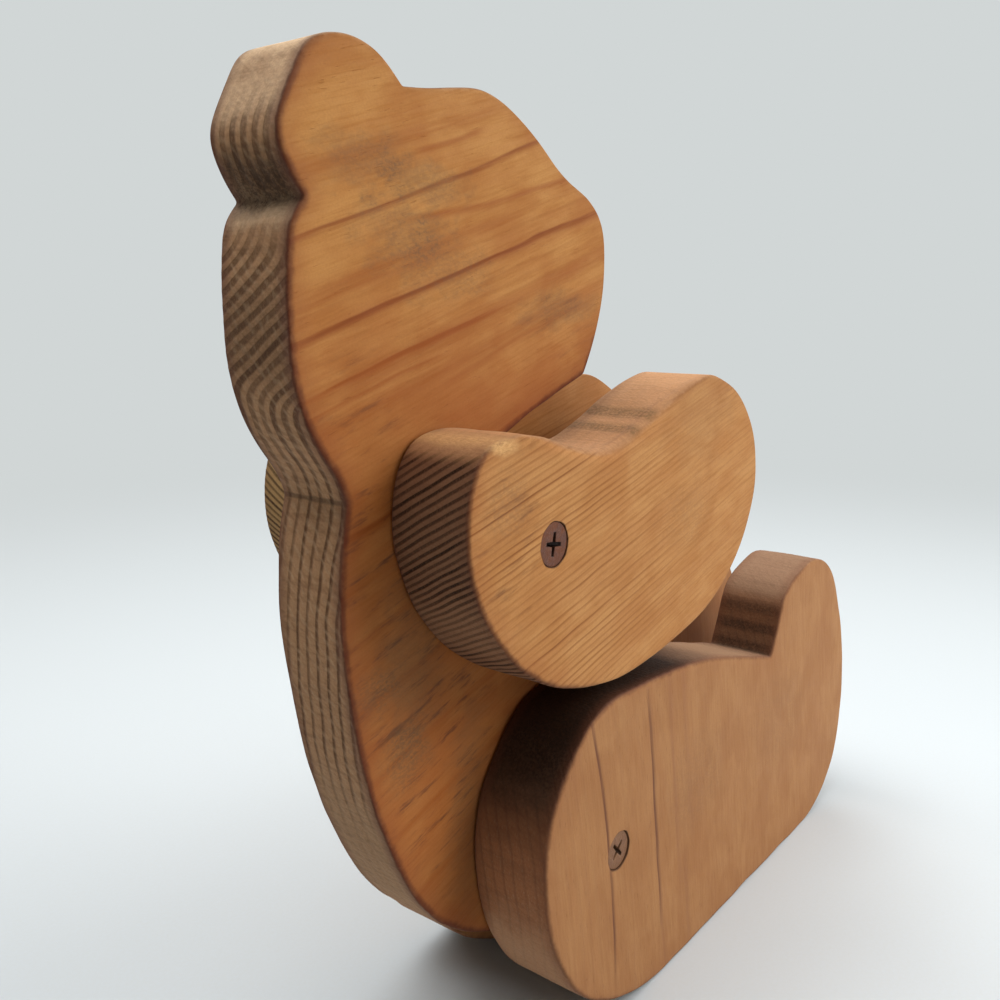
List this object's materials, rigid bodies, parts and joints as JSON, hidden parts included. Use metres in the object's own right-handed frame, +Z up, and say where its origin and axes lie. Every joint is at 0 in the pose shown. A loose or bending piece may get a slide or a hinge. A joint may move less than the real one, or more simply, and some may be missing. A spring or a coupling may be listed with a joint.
{
  "type": "jointed wooden bear",
  "caption": "Toy bear sawn in profile from flat boards, its head and torso in a single board. The arms and legs lie against the sides and turn on countersunk wood screws.",
  "frame": {"origin": "on the floor under the middle of the bear's overall box, midway between the undersides of the two legs", "axes": "+X is the way the bear faces, +Y is the bear's left side, +Z is up; the legs' flat undersides lie on Z = 0"},
  "size_m": [0.2414, 0.0616, 0.2296],
  "materials": {
    "body_board": "bare reddish-brown softwood, worn and grimy, with open dark growth rings",
    "arm_board": "bare tan softwood with fine straight grain, worn smooth",
    "leg_board": "bare tan-brown softwood with upright grain, matt and grimy",
    "screw_steel": "dull, tarnished and browned"
  },
  "bodies": {
    "torso": {"head_and_body": "body_board", "right_arm_screw": "screw_steel", "left_arm_screw": "screw_steel", "right_leg_screw": "screw_steel", "left_leg_screw": "screw_steel"},
    "right_arm": {"right_arm": "arm_board"},
    "left_arm": {"left_arm": "arm_board"},
    "right_leg": {"right_leg": "leg_board"},
    "left_leg": {"left_leg": "leg_board"}
  },
  "joints": [
    {"name": "right_shoulder", "type": "hinge", "parent": "torso", "child": "right_arm", "pos_m": [-0.0678, -0.01995, 0.13273], "axis": [0, -1, 0], "range_deg": [-2, 220]},
    {"name": "left_shoulder", "type": "hinge", "parent": "torso", "child": "left_arm", "pos_m": [-0.0678, 0.01995, 0.13273], "axis": [0, -1, 0], "range_deg": [-1, 220]},
    {"name": "right_hip", "type": "hinge", "parent": "torso", "child": "right_leg", "pos_m": [-0.0393, -0.0203, 0.0486], "axis": [0, 1, 0], "range_deg": [-8, 110]},
    {"name": "left_hip", "type": "hinge", "parent": "torso", "child": "left_leg", "pos_m": [-0.0393, 0.0203, 0.0486], "axis": [0, 1, 0], "range_deg": [-8, 110]}
  ]
}
